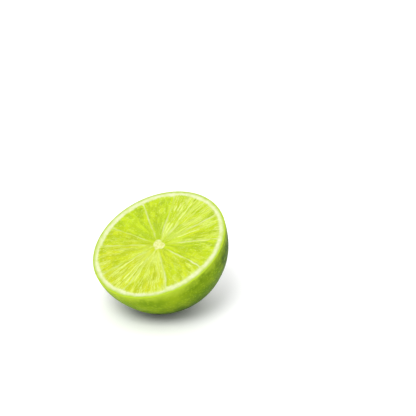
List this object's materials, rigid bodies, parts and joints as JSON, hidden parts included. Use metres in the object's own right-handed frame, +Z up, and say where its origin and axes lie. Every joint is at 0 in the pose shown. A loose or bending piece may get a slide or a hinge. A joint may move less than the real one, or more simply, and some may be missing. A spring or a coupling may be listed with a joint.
{
  "type": "lime half",
  "caption": "Half of a lime, cut straight across, lying on its peel with the flat cut face leaning to the front; round cheek and a blunt nipple at the blossom end.",
  "frame": {"origin": "middle of the box that holds the half, at its lowest level, which is the surface it rests on", "axes": "+Z up, +X level and across the cut face, -Y the side the cut face leans towards"},
  "size_m": [0.055, 0.0518, 0.0416],
  "materials": {
    "lime": "satin"
  },
  "bodies": {
    "root": {"lime_half": "lime"}
  },
  "joints": []
}
